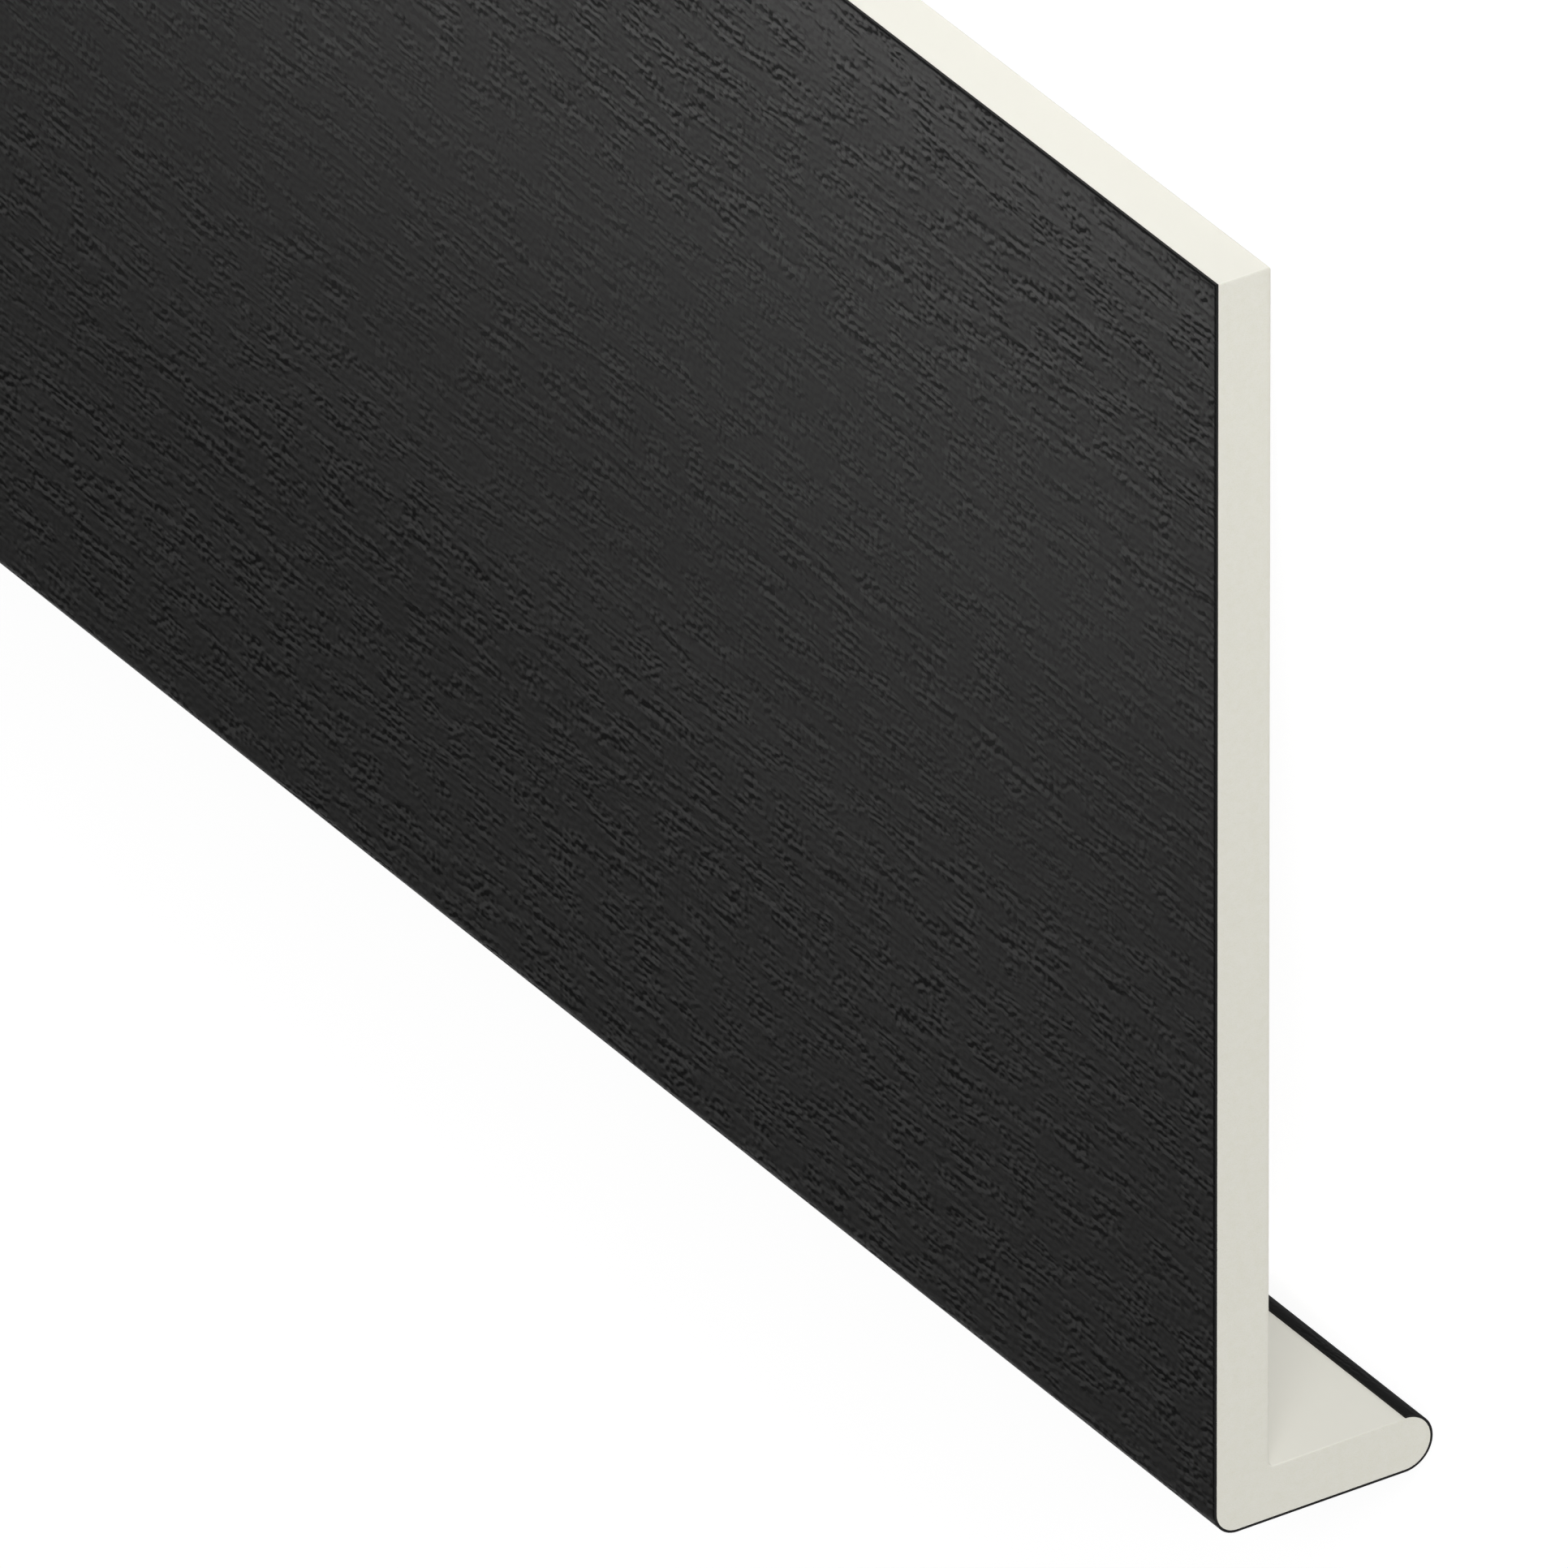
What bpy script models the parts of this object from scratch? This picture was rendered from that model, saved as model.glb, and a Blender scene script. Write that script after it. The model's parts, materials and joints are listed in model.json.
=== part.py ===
"""Fascia board: a J-section cover board of foamed PVC, faced with a woodgrain foil.

The section is drawn as the board is fixed to a house, with y to the rear and z up,
and drawn out along x. The finished board then lies on the floor, face up, on its
nose and its top edge. Lengths are in metres.
"""

import math

import bmesh
import bpy

# Driving sizes of the board
BOARD_LENGTH = 2.500
BOARD_WIDTH = 0.225
BOARD_THICKNESS = 0.010
LEG_DEPTH = 0.0405
LEG_THICKNESS = 0.0097
FRONT_CORNER_RADIUS = 0.0043
INNER_FILLET_RADIUS = 0.0010
TOP_EDGE_RADIUS = 0.0005

# Driving sizes of the foil and the glue line under it
FOIL_THICKNESS = 0.0004
GLUE_LINE = 0.00005

# Facets along the round stretches, and the angle from which an edge is shaded sharp
NOSE_STEPS = 24
CORNER_STEPS = 10
FILLET_STEPS = 5
EDGE_STEPS = 4
SHARP_EDGE_ANGLE = math.radians(30)

# Finishes: colour and roughness
CREAM_FOAMED_PVC = ((0.84, 0.82, 0.75), 0.45)
BLACK_ASH_FOIL = ((0.030, 0.030, 0.030), 0.50)

# The foil stands this far out from the foamed board on the front, underside and nose
FOIL_BUILD_UP = FOIL_THICKNESS + GLUE_LINE

# The nose is a full round: its bare top runs on from the leg's bare top
NOSE_RADIUS = (LEG_THICKNESS + FOIL_BUILD_UP) / 2
NOSE_CENTRE = (LEG_DEPTH - NOSE_RADIUS, NOSE_RADIUS)
CORNER_CENTRE = (FRONT_CORNER_RADIUS, FRONT_CORNER_RADIUS)


def arc(centre, radius, start_deg, end_deg, steps):
    """Points of a round stretch from one angle to the other, 0 degrees to the rear and 90 up."""
    turn = (end_deg - start_deg) / steps
    angles = [math.radians(start_deg + turn * step) for step in range(steps + 1)]
    return [(centre[0] + radius * math.cos(a), centre[1] + radius * math.sin(a)) for a in angles]


def wrapped_path(inset):
    """The line that the foil follows, this far in from its outer face.

    It runs down the front, round the corner, along the underside and round the nose,
    and ends on top of the nose, where the foil is cut off and the leg's bare top starts.
    """
    front_top = (inset, BOARD_WIDTH)
    corner = arc(CORNER_CENTRE, FRONT_CORNER_RADIUS - inset, 180, 270, CORNER_STEPS)
    nose = arc(NOSE_CENTRE, NOSE_RADIUS - inset, -90, 90, NOSE_STEPS)
    return [front_top] + corner + nose


def board_section():
    """Outline of the foamed PVC: the wrapped side first, then the leg's top, the back and the top edge."""
    fillet_centre = (BOARD_THICKNESS + INNER_FILLET_RADIUS, LEG_THICKNESS + INNER_FILLET_RADIUS)
    fillet = arc(fillet_centre, INNER_FILLET_RADIUS, 270, 180, FILLET_STEPS)
    edge_centre = (BOARD_THICKNESS - TOP_EDGE_RADIUS, BOARD_WIDTH - TOP_EDGE_RADIUS)
    top_rear_edge = arc(edge_centre, TOP_EDGE_RADIUS, 0, 90, EDGE_STEPS)
    return wrapped_path(FOIL_BUILD_UP) + fillet + top_rear_edge


def foil_section():
    """Outline of the foil: its outer face, then back along its glued face."""
    return wrapped_path(0.0) + wrapped_path(FOIL_THICKNESS)[::-1]


def resting_tilt():
    """How far the face slopes when the nose and the top rear edge both touch the floor."""
    edge_centre = (BOARD_THICKNESS - TOP_EDGE_RADIUS, BOARD_WIDTH - TOP_EDGE_RADIUS)
    reach = NOSE_CENTRE[0] - edge_centre[0]
    span = edge_centre[1] - NOSE_CENTRE[1]
    slope_of_centres = math.atan2(reach, span)
    return slope_of_centres + math.asin((NOSE_RADIUS - TOP_EDGE_RADIUS) / math.hypot(reach, span))


def plastic(name, colour, roughness):
    """A plain plastic finish."""
    material = bpy.data.materials.new(name)
    material.use_nodes = True
    shader = material.node_tree.nodes["Principled BSDF"]
    shader.inputs["Base Color"].default_value = (*colour, 1.0)
    shader.inputs["Roughness"].default_value = roughness
    shader.inputs["Metallic"].default_value = 0.0
    return material


def drawn_out(name, outline, material):
    """One object: the section as a face across the board's left end, extruded to its right end."""
    shape = bmesh.new()
    left_end = -BOARD_LENGTH / 2
    corners = [shape.verts.new((left_end, y, z)) for y, z in outline]
    section = shape.faces.new(corners)
    grown = bmesh.ops.extrude_face_region(shape, geom=[section])
    right_end = [item for item in grown["geom"] if isinstance(item, bmesh.types.BMVert)]
    bmesh.ops.translate(shape, verts=right_end, vec=(BOARD_LENGTH, 0.0, 0.0))
    bmesh.ops.recalc_face_normals(shape, faces=shape.faces)
    mesh = bpy.data.meshes.new(name)
    shape.to_mesh(mesh)
    shape.free()
    mesh.materials.append(material)
    mesh.shade_smooth()
    mesh.set_sharp_from_angle(angle=SHARP_EDGE_ANGLE)
    piece = bpy.data.objects.new(name, mesh)
    bpy.context.scene.collection.objects.link(piece)
    return piece


def lie_on_the_floor(pieces):
    """Lays the board face up: its long middle over the origin, its nose and top edge on z = 0."""
    turn = -(math.pi / 2 + resting_tilt())
    laid = [
        (y * math.cos(turn) - z * math.sin(turn), y * math.sin(turn) + z * math.cos(turn))
        for y, z in board_section() + foil_section()
    ]
    sideways = [point[0] for point in laid]
    heights = [point[1] for point in laid]
    lying = bpy.data.objects.new("lying_face_up", None)
    bpy.context.scene.collection.objects.link(lying)
    lying.rotation_euler = (turn, 0.0, 0.0)
    lying.location = (0.0, -(min(sideways) + max(sideways)) / 2, -min(heights))
    for piece in pieces:
        piece.parent = lying


def main():
    for old in list(bpy.data.objects):
        bpy.data.objects.remove(old)
    cream_pvc = plastic("cream_foamed_pvc", *CREAM_FOAMED_PVC)
    black_ash = plastic("black_ash_foil", *BLACK_ASH_FOIL)
    board = drawn_out("foamed_board", board_section(), cream_pvc)
    foil = drawn_out("woodgrain_foil", foil_section(), black_ash)
    lie_on_the_floor([board, foil])


main()
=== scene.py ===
"""Fascia board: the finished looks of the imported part.

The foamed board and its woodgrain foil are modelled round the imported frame, with eased
edges, sawn ends and their finishes, and lie on a pale floor in soft studio light.
Lengths are in metres. Each piece is drawn standing, as the board is fixed to a house,
with x along the board, y to the rear and z up, and is then laid down on the floor.
"""

import json
import math
from contextlib import contextmanager

import bmesh
import bpy
from mathutils import Matrix, Vector


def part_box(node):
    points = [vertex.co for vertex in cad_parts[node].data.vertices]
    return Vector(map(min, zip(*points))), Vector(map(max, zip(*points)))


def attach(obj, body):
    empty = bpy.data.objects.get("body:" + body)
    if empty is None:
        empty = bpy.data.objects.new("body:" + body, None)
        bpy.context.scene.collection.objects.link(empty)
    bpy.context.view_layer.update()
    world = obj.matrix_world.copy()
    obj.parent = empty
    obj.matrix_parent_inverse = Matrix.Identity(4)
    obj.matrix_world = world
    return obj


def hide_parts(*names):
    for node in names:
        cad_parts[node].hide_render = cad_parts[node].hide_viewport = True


bl_info = {
    "name": "Fascia Board Looks",
    "version": (1, 0, 0),
    "blender": (4, 5, 0),
    "location": "3D View > Sidebar > Fascia Board",
    "description": "Models the finished fascia board round its packed frame, and sets the studio",
    "category": "Object",
}

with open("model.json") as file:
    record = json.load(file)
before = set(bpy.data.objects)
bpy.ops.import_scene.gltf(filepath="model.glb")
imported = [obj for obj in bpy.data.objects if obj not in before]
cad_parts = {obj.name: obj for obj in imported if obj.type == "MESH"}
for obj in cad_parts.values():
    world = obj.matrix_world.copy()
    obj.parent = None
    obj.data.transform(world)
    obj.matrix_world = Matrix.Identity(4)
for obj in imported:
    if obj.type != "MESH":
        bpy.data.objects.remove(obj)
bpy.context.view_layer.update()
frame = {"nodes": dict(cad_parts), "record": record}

# The board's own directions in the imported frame
MOUNTS = {mount["name"]: mount for mount in frame["record"]["mounts"]}
ALONG = Vector((1.0, 0.0, 0.0))
REARWARDS = Vector(MOUNTS["back_face"]["axis"]).normalized()
UPWARDS = Vector(MOUNTS["top_edge"]["axis"]).normalized()

# Two places closer than the first are the same place, and vertices closer than the second are joined
HAIR = 0.00001
WELD = HAIR / 4


def places_along(node, direction):
    """Where the vertices of a CAD node lie along a direction."""
    return [direction.dot(vertex.co) for vertex in frame["nodes"][node].data.vertices]


FRONT_PLANE = min(places_along("woodgrain_foil", REARWARDS))
UNDERSIDE = min(places_along("woodgrain_foil", UPWARDS))


def section_of(node):
    """The vertices of a CAD node in the standing section, as pairs of y and z."""
    depths = [place - FRONT_PLANE for place in places_along(node, REARWARDS)]
    heights = [place - UNDERSIDE for place in places_along(node, UPWARDS)]
    return list(zip(depths, heights))


BOARD_SECTION = section_of("foamed_board")
FOIL_SECTION = section_of("woodgrain_foil")

# The real sizes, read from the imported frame
HALF_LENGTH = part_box("woodgrain_foil")[1].x
WIDTH = max(z for y, z in BOARD_SECTION)
THICKNESS = REARWARDS.dot(Vector(MOUNTS["back_face"]["pos_m"])) - FRONT_PLANE
LEG_DEPTH = max(y for y, z in FOIL_SECTION)
LEG_THICKNESS = UPWARDS.dot(Vector(MOUNTS["leg_top"]["pos_m"])) - UNDERSIDE
BUILD_UP = min(y for y, z in BOARD_SECTION)
FOIL_THICKNESS = max(y for y, z in FOIL_SECTION if z > WIDTH - HAIR)
CORNER_RADIUS = min(z for y, z in FOIL_SECTION if y < HAIR)
BACK_HEIGHTS = [z for y, z in BOARD_SECTION if abs(y - THICKNESS) < HAIR]
FILLET_RADIUS = min(BACK_HEIGHTS) - LEG_THICKNESS
TOP_EDGE_RADIUS = WIDTH - max(BACK_HEIGHTS)
NOSE_RADIUS = (LEG_THICKNESS + BUILD_UP) / 2
NOSE_CENTRE = Vector((0.0, LEG_DEPTH - NOSE_RADIUS, NOSE_RADIUS))
CORNER_CENTRE = Vector((0.0, CORNER_RADIUS, CORNER_RADIUS))

# Where the nose starts, measured round the section from the top of the face
NOSE_START = WIDTH - CORNER_RADIUS + math.pi / 2 * CORNER_RADIUS + NOSE_CENTRE.y - CORNER_RADIUS

# Edges that turn by more than this are shaded sharp
SHARP_EDGE_ANGLE = math.radians(32)

# Names of the maps and the attribute that the finishes and the bake read
GRAIN_MAP = "along_and_round"
BAKE_MAP = "OFBake"
CORE_MARK = "core"


class FoamedBoardLook(bpy.types.PropertyGroup):
    """Sizes and colours of the foamed board's finish."""

    arris: bpy.props.FloatProperty(
        name="Arris", description="Easing of the sawn ends' edges", default=0.00008, unit="LENGTH"
    )
    skin_depth: bpy.props.FloatProperty(
        name="Skin", description="Depth of the dense skin at the sawn ends", default=0.0003, unit="LENGTH"
    )
    colour: bpy.props.FloatVectorProperty(
        name="Colour", description="The cream foamed plastic", default=(0.86, 0.846, 0.768), subtype="COLOR"
    )
    cell_colour: bpy.props.FloatVectorProperty(
        name="Cells", description="The foam's open cells at the sawn ends", default=(0.78, 0.765, 0.625),
        subtype="COLOR",
    )
    cell_size: bpy.props.FloatProperty(
        name="Cell size", description="Distance between the foam's cells", default=0.00022, unit="LENGTH"
    )
    saw_pitch: bpy.props.FloatProperty(
        name="Saw marks", description="Distance between the saw's marks", default=0.0011, unit="LENGTH"
    )
    die_line_pitch: bpy.props.FloatProperty(
        name="Die lines", description="Distance between the lines of the extrusion die", default=0.0016,
        unit="LENGTH",
    )
    roughness: bpy.props.FloatProperty(
        name="Roughness", description="Roughness of the satin skin", default=0.42, min=0.0, max=1.0
    )


class WoodgrainFoilLook(bpy.types.PropertyGroup):
    """Sizes and colours of the foil's embossed ash grain."""

    colour: bpy.props.FloatVectorProperty(
        name="Colour", description="The black film", default=(0.0295, 0.0292, 0.0287), subtype="COLOR"
    )
    # Pores: the grain's own dark pores, and also the painted shade on one side of each embossed streak
    pore_colour: bpy.props.FloatVectorProperty(
        name="Pores", description="The bottoms of the grain's pores", default=(0.0085, 0.0084, 0.0083),
        subtype="COLOR",
    )
    # The pale colour of the crests' painted highlight, of the rubbed clouds and of the painted light near the
    # top edge
    pale_and_highlight_colour: bpy.props.FloatVectorProperty(
        name="Crests", description="The rubbed crests between the pores", default=(0.059, 0.0587, 0.0577),
        subtype="COLOR",
    )
    # The film's cut edges, and also the painted shade on the film round the nose
    cut_and_nose_shade_colour: bpy.props.FloatVectorProperty(
        name="Cut edge", description="The film's cut edges", default=(0.0040, 0.0040, 0.0040), subtype="COLOR"
    )
    cut_border: bpy.props.FloatProperty(
        name="Cut border", description="Width of the dark line beside the cut edges", default=0.0005,
        unit="LENGTH",
    )
    # How far the film round the nose is painted dark as shade, in the cut edges' colour
    nose_painted_shade: bpy.props.FloatProperty(
        name="Nose", description="How far the film on the nose is as dark as its cut edges", default=0.95,
        min=0.0, max=1.0,
    )
    pore_width: bpy.props.FloatProperty(
        name="Pore width", description="Width of the grain's pores", default=0.00120, unit="LENGTH"
    )
    pore_length: bpy.props.FloatProperty(
        name="Pore length", description="Length of the grain's pores", default=0.0100, unit="LENGTH"
    )
    pore_depth: bpy.props.FloatProperty(
        name="Pore depth", description="Depth of the grain's pores", default=0.00010, unit="LENGTH"
    )
    sway: bpy.props.FloatProperty(
        name="Sway", description="How far the grain wanders sideways", default=0.0030, unit="LENGTH"
    )
    streaks: bpy.props.FloatProperty(
        name="Streaks", description="Strength of the grain's long streaks", default=0.59, min=0.0
    )
    flecks: bpy.props.FloatProperty(
        name="Flecks", description="Strength of the grain's short flecks", default=0.63, min=0.0
    )
    roughness: bpy.props.FloatProperty(
        name="Roughness", description="Roughness of the film", default=0.46, min=0.0, max=1.0
    )


class StudioLook(bpy.types.PropertyGroup):
    """The floor, the lamps and the camera."""

    floor_size: bpy.props.FloatProperty(
        name="Floor", description="Side of the square floor", default=120.0, unit="LENGTH"
    )
    floor_colour: bpy.props.FloatVectorProperty(
        name="Floor colour", description="The matt floor under its white", default=(0.27, 0.27, 0.27),
        subtype="COLOR",
    )
    sky: bpy.props.FloatProperty(
        name="Sky", description="Strength of the light from all round", default=0.175, min=0.0
    )
    lens: bpy.props.FloatProperty(
        name="Lens", description="The camera's long lens, in millimetres", default=1500.0, min=50.0
    )
    view_width: bpy.props.FloatProperty(
        name="View width", description="Width of the view at the board's near end", default=0.24124,
        unit="LENGTH",
    )


class Wire:
    """What a socket carries. Sums on a number add Math nodes to its tree."""

    def __init__(self, nodes, socket):
        self.nodes = nodes
        self.socket = socket

    def sum(self, operation, *values):
        """What a Math node makes of some values."""
        settings = {"operation": operation}
        return self.nodes.add("ShaderNodeMath", settings, dict(enumerate(values)))["Value"]

    def __add__(self, other):
        return self.sum("ADD", self, other)

    def __radd__(self, other):
        return self.sum("ADD", other, self)

    def __sub__(self, other):
        return self.sum("SUBTRACT", self, other)

    def __rsub__(self, other):
        return self.sum("SUBTRACT", other, self)

    def __mul__(self, other):
        return self.sum("MULTIPLY", self, other)

    def __rmul__(self, other):
        return self.sum("MULTIPLY", other, self)

    def __abs__(self):
        return self.sum("ABSOLUTE", self)


class Nodes:
    """A node tree in the making, with short ways to the nodes that it needs."""

    def __init__(self, tree):
        self.tree = tree

    def add(self, kind, settings=None, inputs=None):
        """Adds a node: first its settings, then the values or wires of its sockets. Gives its outputs."""
        made = self.tree.nodes.new(kind)
        for name, value in (settings or {}).items():
            setattr(made, name, value)
        for name, value in (inputs or {}).items():
            self.connect(made.inputs, name, value)
        return {output.identifier: Wire(self, output) for output in made.outputs}

    def connect(self, sockets, name, value):
        """Gives a socket, named by its place or its identifier, a value or a wire."""
        socket = sockets[name] if isinstance(name, int) else self.socket_named(sockets, name)
        if isinstance(value, Wire):
            self.tree.links.new(value.socket, socket)
        else:
            socket.default_value = value

    @staticmethod
    def socket_named(sockets, name):
        return next(socket for socket in sockets if socket.identifier == name)

    def rays_seen(self):
        """1 on the rays that show the background: the camera's own, mirrored ones and those through glass."""
        rays = self.add("ShaderNodeLightPath")
        return rays["Is Camera Ray"] + rays["Is Glossy Ray"] + rays["Is Transmission Ray"]

    def scaled(self, place, *sizes):
        """A place measured in other sizes, one for each direction."""
        scale = [1 / size for size in sizes]
        return self.add("ShaderNodeVectorMath", {"operation": "MULTIPLY"}, {0: place, 1: scale})["Vector"]

    def noise(self, place, detail=2.0, roughness=0.5):
        """Soft noise through the solid."""
        inputs = {"Vector": place, "Scale": 1.0, "Detail": detail, "Roughness": roughness}
        return self.add("ShaderNodeTexNoise", {"noise_dimensions": "3D"}, inputs)["Fac"]

    def grain_noise(self, place, detail=0.0):
        """Soft noise over the film's map."""
        inputs = {"Vector": place, "Scale": 1.0, "Detail": detail, "Roughness": 0.5}
        return self.add("ShaderNodeTexNoise", {"noise_dimensions": "2D"}, inputs)["Fac"]

    def between(self, value, start, end):
        """0 up to the start, 1 from the end on, and smooth between them. The end may be the lower one."""
        settings = {"interpolation_type": "SMOOTHSTEP"}
        inputs = {"Value": value, "From Min": start, "From Max": end}
        return self.add("ShaderNodeMapRange", settings, inputs)["Result"]

    def larger(self, first, second):
        """The larger of two values."""
        return first.sum("MAXIMUM", first, second)

    def blend(self, share, first, second):
        """A colour between two colours."""
        inputs = {"Factor_Float": share}
        for side, colour in (("A_Color", first), ("B_Color", second)):
            inputs[side] = colour if isinstance(colour, Wire) else (*colour, 1.0)
        return self.add("ShaderNodeMix", {"data_type": "RGBA"}, inputs)["Result_Color"]

    def relief(self, height):
        """The normal of a surface with this relief, in metres."""
        inputs = {"Height": height, "Distance": 1.0, "Strength": 1.0}
        return self.add("ShaderNodeBump", None, inputs)["Normal"]


class Finish(Nodes):
    """A material in the making."""

    def __init__(self, name):
        self.material = bpy.data.materials.new(name)
        self.material.use_nodes = True
        super().__init__(self.material.node_tree)
        self.shader = self.tree.nodes["Principled BSDF"]

    def surface(self, **sockets):
        """Sets the shader's sockets, named with underscores for spaces."""
        for name, value in sockets.items():
            self.connect(self.shader.inputs, name.replace("_", " "), value)
        return self.material


# Sizes of the board's patterns along it, across it and up as it lies, and heights of its fine relief
DIE_LINE_LENGTH = 0.9
DIE_LINE_HEIGHT = 0.0000060
SKIN_CLOUDS = (0.11, 0.030, 0.030)
SKIN_PEEL = (0.0030, 0.0018, 0.0018)
PEEL_HEIGHT = 0.0000050
CORE_CLOUDS = (0.0016, 0.0016, 0.0016)
CORE_HEIGHT = 0.000008
CELL_DEPTH = 0.000014
SAW_MARK_LENGTH = 0.030
SAW_MARK_HEIGHT = 0.000010

# The deeper tone of the cream, as shares of its red, green and blue
DEEPER_CREAM = (0.965, 0.965, 0.955)


def foamed_skin(look):
    """The board's satin skin: faint lines of the extrusion die, and a slightly uneven cream."""
    finish = Finish("foamed_pvc_skin")
    place = finish.add("ShaderNodeTexCoord")["Object"]
    pitch = look.die_line_pitch
    lines = finish.noise(finish.scaled(place, DIE_LINE_LENGTH, pitch, pitch), detail=3.0, roughness=0.65)
    clouds = finish.noise(finish.scaled(place, *SKIN_CLOUDS), detail=2.0)
    peel = finish.noise(finish.scaled(place, *SKIN_PEEL), detail=1.0)
    deeper = [share * value for share, value in zip(DEEPER_CREAM, look.colour)]
    uneven = finish.between(clouds, 0.30, 0.70) * 0.45 + lines * 0.18
    return finish.surface(
        Base_Color=finish.blend(uneven, look.colour, deeper),
        Roughness=look.roughness + (lines - 0.5) * 0.16 + (clouds - 0.5) * 0.08,
        Specular_IOR_Level=0.4,
        Normal=finish.relief(lines * DIE_LINE_HEIGHT + peel * PEEL_HEIGHT),
    )


def foamed_cut(look):
    """The sawn ends: fine foam cells inside a denser skin, and the saw's faint marks."""
    finish = Finish("foamed_pvc_sawn")
    place = finish.add("ShaderNodeTexCoord")["Object"]
    core = finish.add("ShaderNodeAttribute", {"attribute_name": CORE_MARK})["Fac"]
    cells = finish.add(
        "ShaderNodeTexVoronoi", {"feature": "F1"}, {"Vector": place, "Scale": 1 / look.cell_size}
    )["Distance"]
    open_cells = finish.between(cells, 0.50, 0.18) * (0.25 + core * 0.75)
    clouds = finish.noise(finish.scaled(place, *CORE_CLOUDS), detail=2.0)
    sawn = finish.scaled(place, 1.0, SAW_MARK_LENGTH, look.saw_pitch)
    marks = finish.noise(sawn, detail=2.0, roughness=0.6)
    shade = open_cells * 0.30 + finish.between(clouds, 0.35, 0.75) * 0.16 + marks * 0.12
    return finish.surface(
        Base_Color=finish.blend(shade, look.colour, look.cell_colour),
        Roughness=0.62 + open_cells * 0.12 + (marks - 0.5) * 0.10,
        Specular_IOR_Level=0.25,
        Normal=finish.relief(marks * SAW_MARK_HEIGHT - open_cells * CELL_DEPTH + core * CORE_HEIGHT),
    )


# Sizes of the grain's patterns along the board and round its section
GRAIN_SWAY = (0.060, 0.016, 1.0)
GRAIN_PATCHES = (0.0080, 0.0040, 1.0)
GRAIN_FIELDS = (0.070, 0.030, 1.0)
GRAIN_CLOUDS = (0.16, 0.045, 1.0)
KNIFE_MARKS = (0.0012, 0.0012, 1.0)
KNIFE_MARK_HEIGHT = 0.000006

# The flecks' length and width, as shares of the streaks'
FLECK_LENGTH = 0.125
FLECK_WIDTH = 0.72

# The grain is calmest at this distance from the face's top, up to the first distance off it,
# and at its strongest from the second
CALM_PLACE = 0.42 * WIDTH
CALM_REACH = (0.015, 0.070)

# The film is painted paler near its top edge, as light falling there, from the first distance off that edge
# and most at the second
PAINTED_LIGHT_REACH = (0.024, 0.001)


def embossed(finish, place, length, width):
    """Streaks with painted emboss shading: above 0 on one side of a streak, for a painted highlight, below 0
    on the other, for painted shade.
    """
    step = (0.3 * width, 0.4 * width, 0.0)
    beside = finish.add("ShaderNodeVectorMath", {"operation": "ADD"}, {0: place, 1: step})["Vector"]
    here, there = (finish.scaled(point, length, width, 1.0) for point in (place, beside))
    return finish.grain_noise(here) - finish.grain_noise(there)


def drawn_grain(finish, place, look):
    """The grain's streaks and flecks, with their painted emboss shading, which wander a little sideways along
    the board.
    """
    sway = finish.grain_noise(finish.scaled(place, *GRAIN_SWAY), detail=1.0)
    shift = finish.add("ShaderNodeCombineXYZ", None, {"Y": (sway - 0.5) * look.sway})["Vector"]
    run = finish.add("ShaderNodeVectorMath", {"operation": "ADD"}, {0: place, 1: shift})["Vector"]
    width, length = look.pore_width, look.pore_length
    streaks = embossed(finish, run, length, width)
    flecks = embossed(finish, run, FLECK_LENGTH * length, FLECK_WIDTH * width)
    return streaks * look.streaks + flecks * look.flecks


def grain_strength(finish, place, round_section, on_nose):
    """How strong the grain is: in patches and wide fields, calmer in the face's middle and on the nose."""
    patch_noise = finish.grain_noise(finish.scaled(place, *GRAIN_PATCHES), detail=2.0)
    patches = finish.between(patch_noise, 0.36, 0.62)
    field_noise = finish.grain_noise(finish.scaled(place, *GRAIN_FIELDS), detail=1.0)
    fields = finish.between(field_noise, 0.35, 0.60)
    edges = finish.between(abs(round_section - CALM_PLACE), *CALM_REACH)
    return (0.20 + patches * 0.80) * (0.53 + fields * 0.20 + edges * 0.36) * (1.0 - on_nose * 0.5)


def beside_cut_edges(finish, along, round_section, border):
    """1 within a border's width of the film's top edge and of its two ends, and 0 elsewhere."""
    inside, outside = 0.7 * border, 1.3 * border
    by_top_edge = finish.between(round_section, outside, inside)
    by_an_end = finish.between(abs(along), HALF_LENGTH - outside, HALF_LENGTH - inside)
    return finish.larger(by_top_edge, by_an_end)


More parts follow.
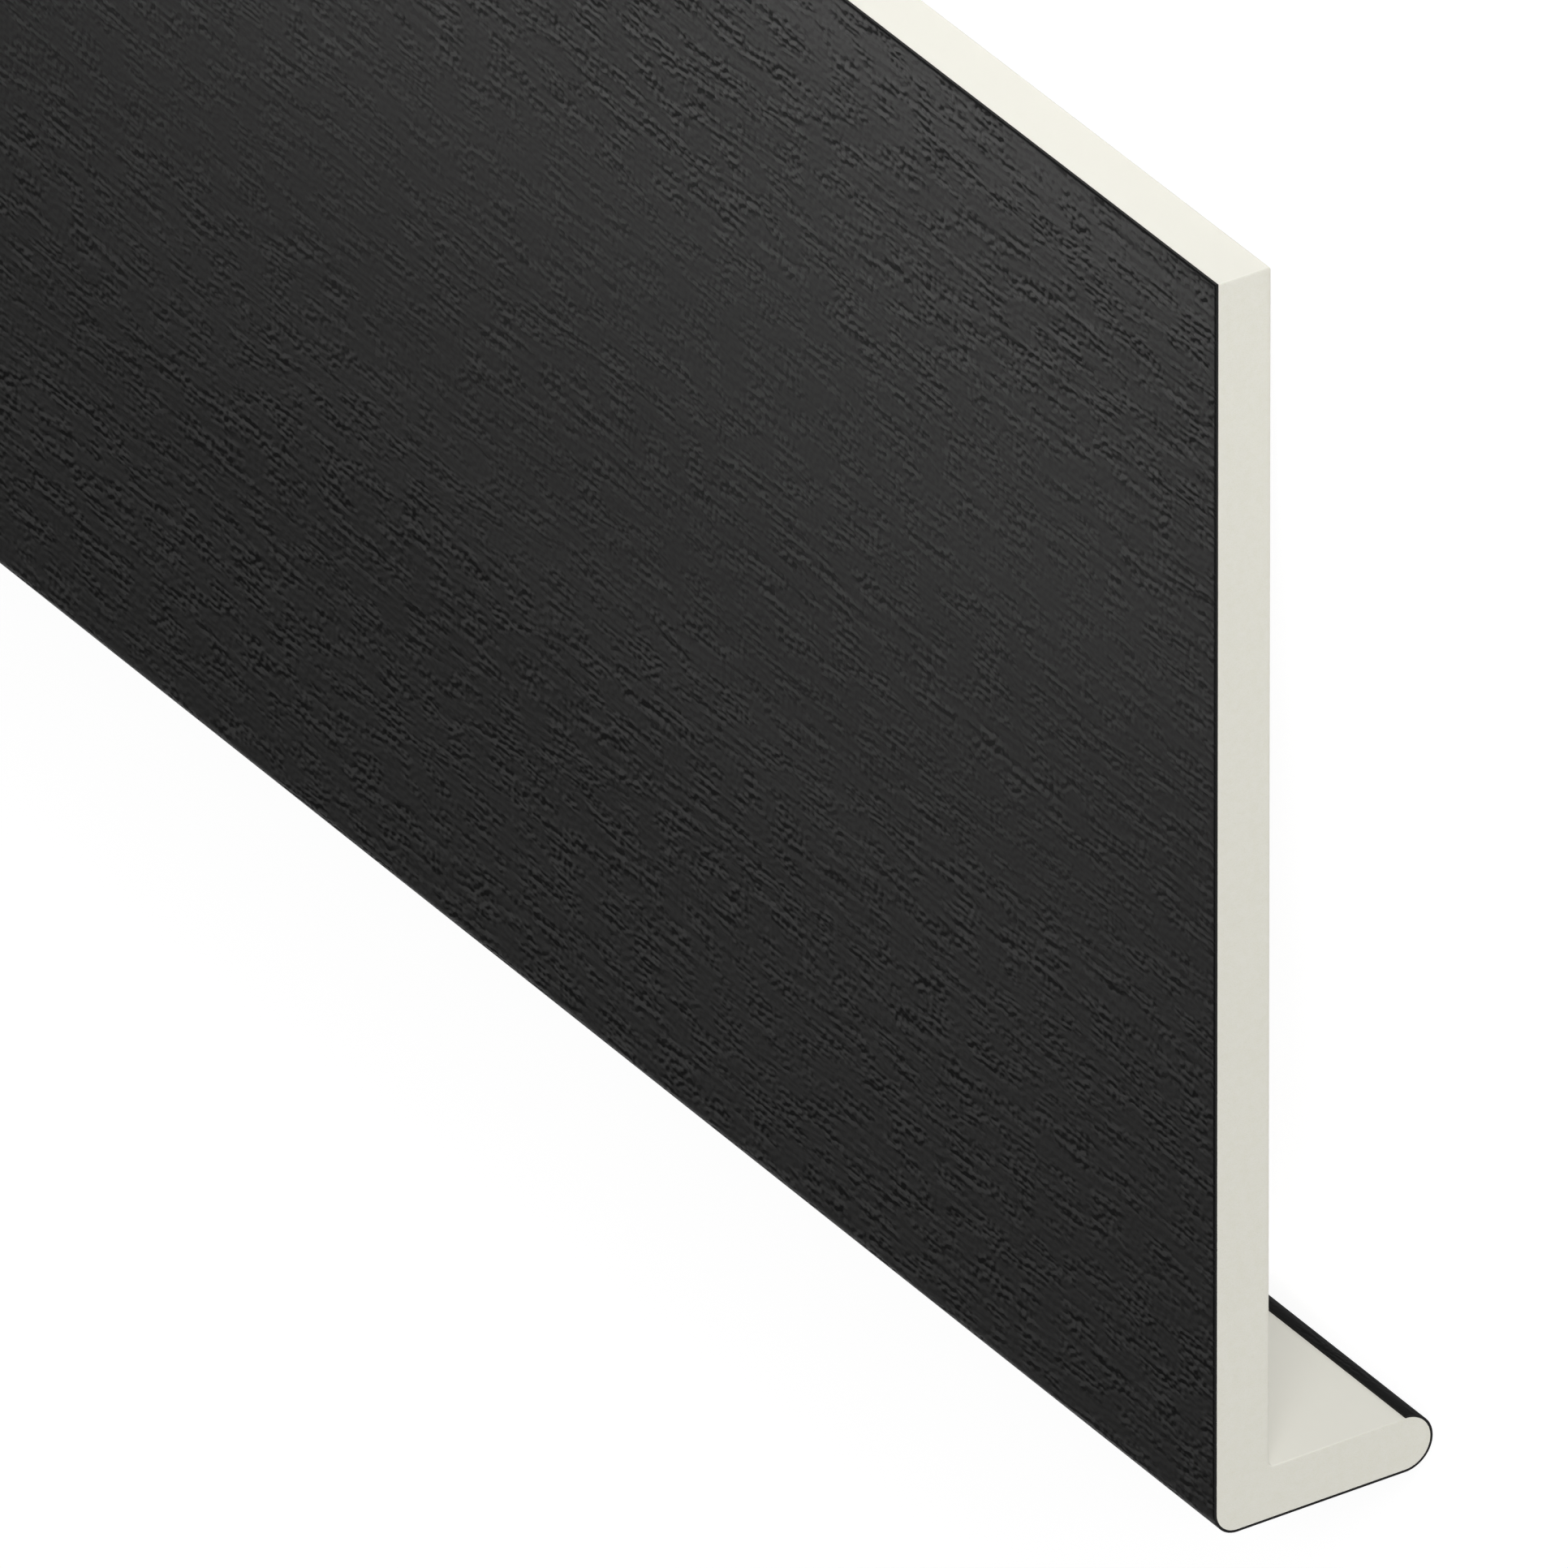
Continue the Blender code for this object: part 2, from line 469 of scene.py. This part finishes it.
def ash_grain(look):
    """The film's face: short embossed pores along the board, in patches, with painted emboss shading (painted
    shade on one side of each streak, a painted highlight on its crest), rubbed clouds, painted light near the
    top edge and painted shade on the nose.
    """
    finish = Finish("woodgrain_foil_face")
    place = finish.add("ShaderNodeUVMap", {"uv_map": GRAIN_MAP})["UV"]
    parts = finish.add("ShaderNodeSeparateXYZ", None, {"Vector": place})
    along, round_section = parts["X"], parts["Y"]
    on_nose = finish.between(round_section, NOSE_START, NOSE_START + NOSE_RADIUS)
    drawn = drawn_grain(finish, place, look)
    strength = grain_strength(finish, place, round_section, on_nose)
    # The pores carry painted shade, partly the grain's own dark pores; the crests carry a painted highlight.
    # They lie on the two sides of each streak
    pores = finish.between(drawn, -0.01, 0.19) * strength
    crests = finish.between(drawn, 0.01, -0.19) * strength
    clouds = finish.grain_noise(finish.scaled(place, *GRAIN_CLOUDS), detail=1.0)
    # Paler in random rubbed clouds, and painted light near the top edge
    painted_light_near_top = finish.between(round_section, *PAINTED_LIGHT_REACH)
    rubbed_and_painted_light = finish.between(clouds, 0.30, 0.70) * 0.12 + painted_light_near_top * 0.42
    colour = finish.blend(rubbed_and_painted_light, look.colour, look.pale_and_highlight_colour)
    colour = finish.blend(pores, colour, look.pore_colour)
    colour = finish.blend(crests, colour, look.pale_and_highlight_colour)
    # The film round the nose is painted dark, as shade
    colour = finish.blend(on_nose * look.nose_painted_shade, colour, look.cut_and_nose_shade_colour)
    border = beside_cut_edges(finish, along, round_section, look.cut_border)
    depth = look.pore_depth
    return finish.surface(
        Base_Color=finish.blend(border, colour, look.cut_and_nose_shade_colour),
        Roughness=look.roughness + pores * 0.16 - crests * 0.05 + on_nose * 0.3,
        Specular_IOR_Level=0.06,
        Normal=finish.relief(crests * (0.7 * depth) - pores * depth + clouds * (0.8 * depth)),
    )


def film_cut(look):
    """The film's cut edges: plain black, with faint marks of the knife."""
    finish = Finish("woodgrain_foil_cut")
    place = finish.add("ShaderNodeUVMap", {"uv_map": GRAIN_MAP})["UV"]
    marks = finish.noise(finish.scaled(place, *KNIFE_MARKS), detail=2.0)
    return finish.surface(
        Base_Color=finish.blend(marks * 0.4, look.cut_and_nose_shade_colour, look.pore_colour),
        Roughness=0.5 + marks * 0.1,
        Specular_IOR_Level=0.15,
        Normal=finish.relief(marks * KNIFE_MARK_HEIGHT),
    )


def pick(piece):
    """Selects just one piece and makes it the active one."""
    bpy.ops.object.select_all(action="DESELECT")
    piece.select_set(True)
    bpy.context.view_layer.objects.active = piece


@contextmanager
def editing(piece, kind):
    """Edit mode on one piece, picking vertices, edges or faces, for the length of a with block."""
    pick(piece)
    bpy.ops.object.mode_set(mode="EDIT")
    bpy.ops.mesh.select_mode(type=kind)
    yield
    bpy.ops.object.mode_set(mode="OBJECT")


def pick_edges(piece, wanted):
    """Selects just the edges whose two ends and middle pass a test."""
    bpy.ops.mesh.select_all(action="DESELECT")
    shape = bmesh.from_edit_mesh(piece.data)
    for edge in shape.edges:
        first, last = (end.co for end in edge.verts)
        edge.select_set(wanted(first) and wanted(last) and wanted((first + last) / 2))
    bmesh.update_edit_mesh(piece.data)


def pick_faces(piece, wanted):
    """Selects just the faces whose middle and normal pass a test."""
    bpy.ops.mesh.select_all(action="DESELECT")
    shape = bmesh.from_edit_mesh(piece.data)
    for face in shape.faces:
        face.select_set(wanted(face.calc_center_median(), face.normal))
    bmesh.update_edit_mesh(piece.data)


def lies_at(y, z):
    """A test for points on the line along the board at this depth and height."""
    return lambda point: abs(point.y - y) < HAIR and abs(point.z - z) < HAIR


def at_an_end(point):
    """Whether a point lies in the plane of one of the board's ends."""
    return abs(point.x) > HALF_LENGTH - HAIR


def is_end_face(face):
    """Whether a face looks along the board, out of one of its ends."""
    return abs(face.normal.x) > 0.5


def on_bare_arris(point):
    """Whether a point lies on an end's edge where no film covers it."""
    past_film = point.y > BUILD_UP + HAIR or point.z > WIDTH - HAIR
    return at_an_end(point) and past_film and point.z > LEG_THICKNESS - HAIR


def round_off(piece, wanted, radius, segments):
    """Rounds the edges that pass a test to a radius."""
    pick_edges(piece, wanted)
    bpy.ops.mesh.bevel(
        offset_type="OFFSET",
        offset=radius,
        segments=segments,
        profile=0.5,
        affect="EDGES",
        clamp_overlap=False,
    )


def walk_round(piece, start):
    """The points of the section at the right end, in order round it, from the one nearest the start."""
    vertices = piece.data.vertices
    beside = {}
    for edge in piece.data.edges:
        first, second = edge.vertices
        if vertices[first].co.x > HALF_LENGTH - HAIR and vertices[second].co.x > HALF_LENGTH - HAIR:
            beside.setdefault(first, []).append(second)
            beside.setdefault(second, []).append(first)
    here = min(beside, key=lambda index: (vertices[index].co.yz - start).length)
    walked = [here]
    while True:
        onward = [index for index in beside[here] if index not in walked]
        if not onward:
            return [vertices[index].co.yz for index in walked]
        here = min(onward, key=lambda index: vertices[index].co.y) if len(walked) == 1 else onward[0]
        walked.append(here)


def distances_along(outline):
    """How far each point of an outline lies from its first one, along it."""
    far = [0.0]
    for before, after in zip(outline, outline[1:]):
        far.append(far[-1] + (after - before).length)
    return far


def place_on(outline, far, point):
    """How far along an outline a point of the section lies, and how far off it."""
    best = (math.inf, 0.0)
    for (before, after), start in zip(zip(outline, outline[1:]), far):
        side = after - before
        share = min(1.0, max(0.0, (point - before).dot(side) / side.length_squared))
        best = min(best, ((point - before - side * share).length, start + side.length * share))
    return best[1], best[0]


class SectionMap:
    """Finds places round a section, and remembers them, because each repeats along the board."""

    def __init__(self, outline):
        self.outline = outline
        self.far = distances_along(outline)
        self.total = self.far[-1]
        self.known = {}

    def __call__(self, point):
        key = (round(point.y, 7), round(point.z, 7))
        if key not in self.known:
            self.known[key] = place_on(self.outline, self.far, point.yz)
        return self.known[key]


def lay_out(piece, name, place_of):
    """Gives a piece a UV map, from a function of the face and the point."""
    layer = piece.data.uv_layers.new(name=name)
    for face in piece.data.polygons:
        for corner in face.loop_indices:
            point = piece.data.vertices[piece.data.loops[corner].vertex_index].co
            layer.data[corner].uv = place_of(face, point)


def share_along(point):
    """How far along the board a point lies, from 0 at its left end to 1 at its right end."""
    return (point.x + HALF_LENGTH) / (2 * HALF_LENGTH)


def in_band(band, share):
    """A place between the low and the high side of a band of the bake's map."""
    low, high = band
    return low + (high - low) * min(1.0, max(0.0, share))


def lay_down(piece):
    """Lays a standing piece down where the CAD nodes are, with its place in its mesh."""
    turned = Matrix((ALONG, REARWARDS, UPWARDS)).transposed().to_4x4()
    origin = REARWARDS * FRONT_PLANE + UPWARDS * UNDERSIDE
    piece.matrix_world = Matrix.Translation(origin) @ turned
    pick(piece)
    bpy.ops.object.transform_apply(location=True, rotation=True, scale=True)


def shade(piece):
    """Shades a piece smooth, but sharp at its sawn and cut edges."""
    pick(piece)
    bpy.ops.object.shade_smooth_by_angle(angle=SHARP_EDGE_ANGLE)


def named_primitive(name, size=(1.0, 1.0, 1.0)):
    """Names and sizes the primitive that was just added, and takes its size and turn into its mesh."""
    piece = bpy.context.active_object
    piece.name = name
    piece.data.name = name
    piece.scale = size
    bpy.ops.object.transform_apply(location=True, rotation=True, scale=True)
    return piece


def model_board(look):
    """The foamed board: a flat board, its leg extruded from the foot of the back, and its edges along the
    board rounded, all but the front top one.
    """
    bpy.ops.object.select_all(action="DESELECT")
    size = Vector((2 * HALF_LENGTH, THICKNESS - BUILD_UP, WIDTH - BUILD_UP))
    middle = Vector((0.0, BUILD_UP + size.y / 2, BUILD_UP + size.z / 2))
    bpy.ops.mesh.primitive_cube_add(size=1.0, location=middle)
    piece = named_primitive("cream_foamed_board", size)
    tip = LEG_DEPTH - BUILD_UP
    bare_nose_radius = NOSE_RADIUS - BUILD_UP
    with editing(piece, "FACE"):
        bpy.ops.mesh.select_all(action="SELECT")
        bpy.ops.mesh.bisect(plane_co=(0.0, 0.0, LEG_THICKNESS), plane_no=(0.0, 0.0, 1.0))
        pick_faces(piece, lambda centre, normal: normal.y > 0.9 and centre.z < LEG_THICKNESS)
        bpy.ops.mesh.extrude_region_move(TRANSFORM_OT_translate={"value": (0.0, tip - THICKNESS, 0.0)})
        bpy.ops.mesh.select_all(action="SELECT")
        bpy.ops.mesh.dissolve_limited(angle_limit=math.radians(0.5))
    with editing(piece, "EDGE"):
        nose = (lies_at(tip, BUILD_UP), lies_at(tip, LEG_THICKNESS))
        round_off(piece, lambda point: nose[0](point) or nose[1](point), bare_nose_radius, segments=20)
        bpy.ops.mesh.select_all(action="SELECT")
        bpy.ops.mesh.remove_doubles(threshold=WELD)
        round_off(piece, lies_at(BUILD_UP, BUILD_UP), CORNER_RADIUS - BUILD_UP, segments=12)
        round_off(piece, lies_at(THICKNESS, LEG_THICKNESS), FILLET_RADIUS, segments=8)
        round_off(piece, lies_at(THICKNESS, WIDTH), TOP_EDGE_RADIUS, segments=6)
    outline = walk_round(piece, Vector((BUILD_UP, WIDTH)))
    finish_board_ends(piece, look)
    return piece, SectionMap(outline + outline[:1])


def finish_board_ends(piece, look):
    """Eases the sawn ends' edges, and marks the foam's core inside the dense skin."""
    with editing(piece, "EDGE"):
        round_off(piece, on_bare_arris, look.arris, segments=2)
    with editing(piece, "FACE"):
        pick_faces(piece, lambda centre, normal: at_an_end(centre) and abs(normal.x) > 0.9)
        bpy.ops.mesh.inset(thickness=look.skin_depth, depth=0.0, use_even_offset=True)
        shape = bmesh.from_edit_mesh(piece.data)
        mark = shape.verts.layers.float.new(CORE_MARK)
        for vertex in shape.verts:
            vertex[mark] = float(vertex.select)
        bmesh.update_edit_mesh(piece.data)


# Bands of the board's map for the bake
RIGHT_END_BAND = (0.002, 0.10)
LEFT_END_BAND = (0.112, 0.21)
LONG_FACES_BAND = (0.22, 1.0)


def map_board(piece, section):
    """The bake's map of the board: the ends in two bands, and the long faces unrolled above them."""

    def place_of(face, point):
        if is_end_face(face):
            end_band = RIGHT_END_BAND if face.normal.x > 0 else LEFT_END_BAND
            return point.z / WIDTH, in_band(end_band, point.y / LEG_DEPTH)
        across = section(point)[0]
        middle = section(face.center)[0]
        if across < HAIR and middle > section.total / 2:
            across = section.total
        return share_along(point), in_band(LONG_FACES_BAND, across / section.total)

    lay_out(piece, BAKE_MAP, place_of)


def model_foil():
    """The film as a sheet: down the front, round the corner, along the underside and round the nose."""
    bpy.ops.object.select_all(action="DESELECT")
    front_height = WIDTH - CORNER_RADIUS
    bpy.ops.mesh.primitive_grid_add(
        x_subdivisions=125,
        y_subdivisions=22,
        size=1.0,
        location=(0.0, 0.0, CORNER_RADIUS + front_height / 2),
        rotation=(math.pi / 2, 0.0, 0.0),
    )
    piece = named_primitive("black_woodgrain_foil", (2 * HALF_LENGTH, front_height, 1.0))
    with editing(piece, "EDGE"):
        pick_edges(piece, lies_at(0.0, CORNER_RADIUS))
        bpy.ops.mesh.spin(steps=12, angle=math.pi / 2, center=CORNER_CENTRE, axis=-ALONG)
        pick_edges(piece, lies_at(CORNER_RADIUS, 0.0))
        drawn = (0.0, NOSE_CENTRE.y - CORNER_RADIUS, 0.0)
        bpy.ops.mesh.extrude_region_move(TRANSFORM_OT_translate={"value": drawn})
        pick_edges(piece, lies_at(NOSE_CENTRE.y, 0.0))
        bpy.ops.mesh.spin(steps=40, angle=math.pi, center=NOSE_CENTRE, axis=-ALONG)
        bpy.ops.mesh.select_all(action="SELECT")
        bpy.ops.mesh.remove_doubles(threshold=WELD)
        bpy.ops.mesh.normals_make_consistent(inside=False)
        if bmesh.from_edit_mesh(piece.data).faces[0].normal.y > 0:
            bpy.ops.mesh.flip_normals()
    outline = walk_round(piece, Vector((0.0, WIDTH)))
    return piece, SectionMap(outline)


def thicken_foil(piece):
    """Gives the sheet the film's thickness, inwards from its face, and its cut edges the second finish."""
    wall = piece.modifiers.new("film", "SOLIDIFY")
    wall.thickness = FOIL_THICKNESS
    wall.offset = -1.0
    wall.use_even_offset = True
    wall.use_rim = True
    wall.material_offset_rim = 1
    bpy.context.view_layer.objects.active = piece
    bpy.ops.object.modifier_apply(modifier=wall.name)


# Bands of the film's map for the bake
TOP_CUT_BAND = (0.001, 0.013)
NOSE_CUT_BAND = (0.016, 0.028)
RIGHT_CUT_BAND = (0.032, 0.044)
LEFT_CUT_BAND = (0.048, 0.060)
GLUED_SIDE_BAND = (0.065, 0.105)
FILM_FACE_BAND = (0.115, 1.0)


def map_foil(piece, section):
    """The grain's map in metres, and the bake's map: the cut edges and the glued side in low bands."""

    def grain_place(face, point):
        return point.x, section(point)[0]

    def bake_place(face, point):
        across, depth = section(point)
        round_share = across / section.total
        film_share = depth / FOIL_THICKNESS
        if is_end_face(face):
            end_band = RIGHT_CUT_BAND if face.normal.x > 0 else LEFT_CUT_BAND
            return round_share, in_band(end_band, film_share)
        if face.material_index == 1:
            long_band = TOP_CUT_BAND if face.center.z > WIDTH / 2 else NOSE_CUT_BAND
            return share_along(point), in_band(long_band, film_share)
        if section(face.center)[1] > FOIL_THICKNESS / 2:
            return share_along(point), in_band(GLUED_SIDE_BAND, round_share)
        return share_along(point), in_band(FILM_FACE_BAND, round_share)

    lay_out(piece, GRAIN_MAP, grain_place)
    lay_out(piece, BAKE_MAP, bake_place)


def place_in_frame(piece, node):
    """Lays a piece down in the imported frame, in the place of its CAD node."""
    lay_down(piece)
    shade(piece)
    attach(piece, "root")
    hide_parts(node)


class FASCIA_OT_foamed_board(bpy.types.Operator):
    """Models the cream foamed board and gives it its skin and its sawn ends"""

    bl_idname = "fascia.foamed_board"
    bl_label = "Foamed Board"

    def execute(self, context):
        look = context.scene.foamed_board_look
        piece, section = model_board(look)
        piece.data.materials.append(foamed_skin(look))
        piece.data.materials.append(foamed_cut(look))
        for face in piece.data.polygons:
            face.material_index = int(is_end_face(face))
        map_board(piece, section)
        place_in_frame(piece, "foamed_board")
        return {"FINISHED"}


class FASCIA_OT_woodgrain_foil(bpy.types.Operator):
    """Models the film round the board and gives it its embossed ash grain"""

    bl_idname = "fascia.woodgrain_foil"
    bl_label = "Woodgrain Foil"

    def execute(self, context):
        look = context.scene.woodgrain_foil_look
        piece, section = model_foil()
        piece.data.materials.append(ash_grain(look))
        piece.data.materials.append(film_cut(look))
        thicken_foil(piece)
        map_foil(piece, section)
        place_in_frame(piece, "woodgrain_foil")
        return {"FINISHED"}


def soft_lamp(name, place, aim, size, power, spread=math.pi):
    """A rectangular lamp at a place, facing a point, that the camera doesn't see."""
    bpy.ops.object.select_all(action="DESELECT")
    bpy.ops.object.light_add(type="AREA", location=place)
    lamp = bpy.context.active_object
    lamp.name = name
    lamp.rotation_euler = (Vector(aim) - Vector(place)).to_track_quat("-Z", "Y").to_euler()
    lamp.data.shape = "RECTANGLE"
    lamp.data.size, lamp.data.size_y = size
    lamp.data.energy = power
    lamp.data.spread = spread
    lamp.visible_camera = False


# The fan of gridded lamps: how many stand on each side of the middle one, how far apart
# they stand and aim along the board, how narrow their grids are, and their power in watts
FAN_EACH_SIDE = 5
FAN_GAP = 0.19
FAN_AIM_GAP = 0.235
FAN_GRID = math.radians(16.5)
FAN_POWER = 0.140

# Where the softboxes aim, near the board's two ends
RIGHT_AIM = (1.2, 0.0, 0.02)
LEFT_AIM = (-1.2, 0.0, 0.02)


def set_lamps():
    """A fan of gridded lamps over the top edge, softboxes off both ends, and a low fill in front.

    The right end, which the photograph shows, has a second softbox higher up.
    """
    for step in range(-FAN_EACH_SIDE, FAN_EACH_SIDE + 1):
        name = f"gridded_lamp_{step + FAN_EACH_SIDE}"
        place = (FAN_GAP * step, 0.36, 1.26)
        aim = (FAN_AIM_GAP * step, 0.13, 0.0)
        soft_lamp(name, place, aim, size=(0.25, 0.06), power=FAN_POWER, spread=FAN_GRID)
    soft_lamp("softbox_right_end", (7.17, 5.63, 1.35), RIGHT_AIM, size=(3.5, 1.9), power=495.0)
    soft_lamp("softbox_high_right", (6.0, 4.8, 3.54), RIGHT_AIM, size=(2.5, 2.5), power=130.0)
    soft_lamp("softbox_left_end", (-4.85, 3.60, 0.85), LEFT_AIM, size=(2.2, 1.2), power=110.0)
    soft_lamp("fill_in_front", (0.0, -3.4, 0.7), (0.0, 0.0, 0.0), size=(4.0, 1.0), power=8.0)


# The sky's white horizon is gone above the first height and full below the second, as sines of the angle up
HORIZON_FADE = (0.060, 0.035)


def set_sky(strength):
    """Even light from all round. Where it is seen behind the floor's far edge, its horizon is white."""
    world = bpy.data.worlds.new("studio_sky")
    world.use_nodes = True
    bpy.context.scene.world = world
    sky = Nodes(world.node_tree)
    direction = sky.add("ShaderNodeTexCoord")["Generated"]
    height = sky.add("ShaderNodeSeparateXYZ", None, {"Vector": direction})["Z"]
    horizon = sky.between(height, *HORIZON_FADE) * sky.rays_seen()
    background = world.node_tree.nodes["Background"]
    sky.connect(background.inputs, "Color", (1.0, 1.0, 1.0, 1.0))
    sky.connect(background.inputs, "Strength", strength + horizon * (1.0 - strength))


# The floor lies this far under the board
FLOOR_GAP = 0.00005

# The floor as it is seen: its pale colour, its white's strength, and the white's share over the pale colour
FLOOR_PALE = (0.85, 0.85, 0.85)
FLOOR_WHITE = 1.50
FLOOR_WHITE_SHARE = 0.60


def pale_floor(look):
    """Mostly white to the camera, so that only a light shadow is left, and greyer to the lamps' light."""
    finish = Finish("pale_floor")
    seen = finish.rays_seen()
    glow = {"Color": (1.0, 1.0, 1.0, 1.0), "Strength": FLOOR_WHITE}
    white = finish.add("ShaderNodeEmission", None, glow)["Emission"]
    colour = finish.blend(seen, look.floor_colour, FLOOR_PALE)
    finish.surface(Base_Color=colour, Roughness=0.9, Specular_IOR_Level=0.0)
    matt = Wire(finish, finish.shader.outputs["BSDF"])
    share = seen * FLOOR_WHITE_SHARE
    mixed = finish.add("ShaderNodeMixShader", None, {0: share, 1: matt, 2: white})["Shader"]
    output = finish.tree.nodes["Material Output"]
    finish.connect(output.inputs, "Surface", mixed)
    return finish.material


def set_floor(look):
    """A wide pale floor just under the board."""
    bpy.ops.object.select_all(action="DESELECT")
    bpy.ops.mesh.primitive_plane_add(size=look.floor_size, location=(0.0, 0.0, -FLOOR_GAP))
    floor = named_primitive("pale_studio_floor")
    floor.data.materials.append(pale_floor(look))


# The photograph's view, measured on the standing board: how far it looks down, how far it is
# turned from the board's length and rolled, and where its middle lies from the near corner
LOOKS_DOWN = math.radians(31.376)
TURNED_FROM_LENGTH = math.radians(56.563)
ROLL = math.radians(0.148)
MIDDLE_RIGHT = -0.06659
MIDDLE_UP = 0.11614


def set_camera(look):
    """A long lens at the photograph's angle, aimed from the near end's lower front corner."""
    level = math.cos(LOOKS_DOWN)
    back = ALONG * (level * math.sin(TURNED_FROM_LENGTH)) - REARWARDS * (level * math.cos(TURNED_FROM_LENGTH))
    back += UPWARDS * math.sin(LOOKS_DOWN)
    back.normalize()
    up = (UPWARDS - back * UPWARDS.dot(back)).normalized()
    right = up.cross(back)
    turned = Matrix((right, up, back)).transposed() @ Matrix.Rotation(-ROLL, 3, "Z")
    right, up = turned.col[0], turned.col[1]
    corner = ALONG * HALF_LENGTH + REARWARDS * (FRONT_PLANE + BUILD_UP) + UPWARDS * UNDERSIDE
    middle = corner + right * MIDDLE_RIGHT + up * MIDDLE_UP
    bpy.ops.object.select_all(action="DESELECT")
    bpy.ops.object.camera_add()
    camera = bpy.context.active_object
    camera.name = "photograph_view"
    camera.data.lens = look.lens
    camera.data.sensor_width = 36.0
    distance = look.view_width * look.lens / camera.data.sensor_width
    camera.matrix_world = Matrix.Translation(middle + back * distance) @ turned.to_4x4()
    camera.data.clip_start = 0.5
    camera.data.clip_end = 100.0
    bpy.context.scene.camera = camera


class FASCIA_OT_studio(bpy.types.Operator):
    """Sets the floor, the lamps, the sky and the camera"""

    bl_idname = "fascia.studio"
    bl_label = "Studio"

    def execute(self, context):
        look = context.scene.studio_look
        set_floor(look)
        set_lamps()
        set_sky(look.sky)
        set_camera(look)
        context.scene.view_settings.view_transform = "Standard"
        return {"FINISHED"}


class FASCIA_PT_looks(bpy.types.Panel):
    """Lists the pieces, the studio and their settings"""

    bl_idname = "FASCIA_PT_looks"
    bl_label = "Fascia Board"
    bl_space_type = "VIEW_3D"
    bl_region_type = "UI"
    bl_category = "Fascia Board"

    def draw(self, context):
        for operator, settings in OPERATORS.items():
            box = self.layout.box()
            box.operator(operator.bl_idname)
            look = getattr(context.scene, settings)
            for name in type(look).__annotations__:
                box.prop(look, name)


OPERATORS = {
    FASCIA_OT_foamed_board: "foamed_board_look",
    FASCIA_OT_woodgrain_foil: "woodgrain_foil_look",
    FASCIA_OT_studio: "studio_look",
}
LOOKS = {
    "foamed_board_look": FoamedBoardLook,
    "woodgrain_foil_look": WoodgrainFoilLook,
    "studio_look": StudioLook,
}


def register():
    for name, look in LOOKS.items():
        bpy.utils.register_class(look)
        setattr(bpy.types.Scene, name, bpy.props.PointerProperty(type=look))
    for operator in OPERATORS:
        bpy.utils.register_class(operator)
    bpy.utils.register_class(FASCIA_PT_looks)


def unregister():
    bpy.utils.unregister_class(FASCIA_PT_looks)
    for operator in OPERATORS:
        bpy.utils.unregister_class(operator)
    for name, look in LOOKS.items():
        delattr(bpy.types.Scene, name)
        bpy.utils.unregister_class(look)


def main():
    register()
    bpy.ops.fascia.foamed_board()
    bpy.ops.fascia.woodgrain_foil()
    bpy.ops.fascia.studio()


if __name__ == "__main__":
    main()
